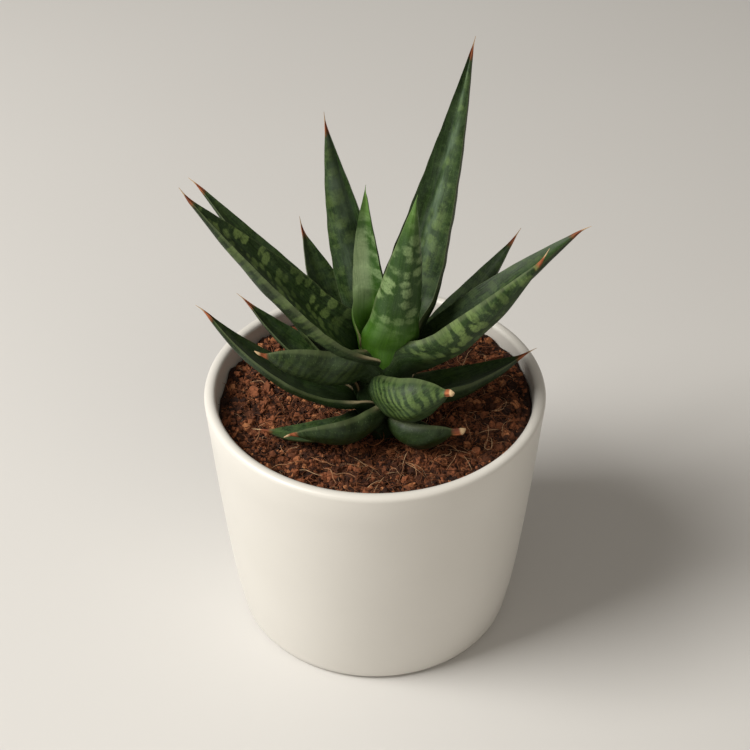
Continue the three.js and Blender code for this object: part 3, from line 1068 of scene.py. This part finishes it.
def make_ground():
    """The soil's body, and the crumbs, grains, clods, fibres and roots that lie on it."""
    granule = coir_finish("coir_granule", rgb(36, 17, 9), rgb(144, 86, 55), rgb(190, 128, 84))
    fibre = coir_finish("coir_fibre", rgb(58, 28, 15), rgb(150, 92, 56), rgb(214, 182, 142))
    make_soil(granule)
    crumbs = [lump_shape(f"crumb_{i}", i, 0.8) for i in range(6)]
    strewn(
        "coir_crumbs", crumbs, granule, per_area=1000000.0, smallest=0.5 * MM, largest=1.9 * MM,
        sink=0.0, tilt=3.1, seed=3,
    )
    grains = [lump_shape(f"grain_{i}", 20 + i, 0.75, 2) for i in range(6)]
    strewn(
        "coir_grains", grains, granule, per_area=200000.0, smallest=1.2 * MM, largest=3.4 * MM,
        sink=0.1 * MM, tilt=3.1, seed=5,
    )
    clods = [lump_shape(f"clod_{i}", 40 + i, 0.6, 3) for i in range(6)]
    strewn(
        "coir_clods", clods, granule, per_area=16000.0, smallest=2.6 * MM, largest=6.0 * MM,
        sink=0.7 * MM, tilt=0.9, seed=12,
    )
    hairs = [hair_shape(f"hair_{i}", i, 0.12 + 0.09 * i, 0.032) for i in range(6)]
    strewn(
        "coir_fibres", hairs, fibre, per_area=420000.0, smallest=2.5 * MM, largest=9.0 * MM,
        sink=-0.5 * MM, tilt=0.5, seed=21,
    )
    strands = [hair_shape(f"strand_{i}", 30 + i, 0.12 + 0.07 * i, 0.016) for i in range(6)]
    strewn(
        "coir_strands", strands, fibre, right_side_only=True, per_area=180000.0,
        smallest=7.0 * MM, largest=13.0 * MM, sink=-1.2 * MM, tilt=0.3, seed=33,
    )
    make_roots(fibre)


# ---------------------------------------------------------------- stage

def make_stage():
    """A plain floor under an evenly lit pale sky."""
    size = 30 * RIM_RADIUS
    points = [(-size, -size, 0), (size, -size, 0), (size, size, 0), (-size, size, 0)]
    floor = mesh_piece("studio_floor", points, [(0, 1, 2, 3)], floor_finish(), smooth=False)
    world = bpy.data.worlds.new("studio")
    world.use_nodes = True
    sky = world.node_tree.nodes["Background"]
    sky.inputs["Color"].default_value = rgb(226, 220, 210)
    sky.inputs["Strength"].default_value = 0.26
    scene.world = world


def make_light(name, place, aim, width, power, tone):
    """One square soft light, aimed at a place."""
    lamp = bpy.data.lights.new(name, "AREA")
    lamp.shape = "SQUARE"
    lamp.size = width
    lamp.energy = power
    lamp.color = tone[:3]
    light = bpy.data.objects.new(name, lamp)
    light.location = place
    light.rotation_euler = (Vector(aim) - Vector(place)).to_track_quat("-Z", "Y").to_euler()
    scene.collection.objects.link(light)


def make_lights():
    """A broad soft window on the left, and a faint warm fill from the front right."""
    aim = (0, 0, POT_HIGH.z)
    make_light("window_left", (-1.05, -0.3, 1.1), aim, 0.8, 30.0, rgb(255, 252, 246))
    make_light("soft_front", (0.5, -1.0, 0.8), aim, 0.9, 3.0, rgb(255, 244, 228))


def make_camera():
    """Looks down on the pot from the front, square on to it."""
    lens, sensor = 50.0, 24.0
    distance = 7.196 * RIM_RADIUS
    height = 7.276 * RIM_RADIUS
    pitch = math.radians(37.84)
    data = bpy.data.cameras.new("view")
    data.lens = lens
    data.sensor_width = sensor
    data.clip_start = 0.01
    camera = bpy.data.objects.new("view", data)
    camera.location = (0, -distance, height)
    camera.rotation_euler = (math.pi / 2 - pitch, 0, 0)
    scene.collection.objects.link(camera)
    scene.camera = camera


make_camera()
make_stage()
make_lights()
make_pot()
make_ground()
make_crown()
make_leaves()
scene.view_settings.view_transform = "Standard"
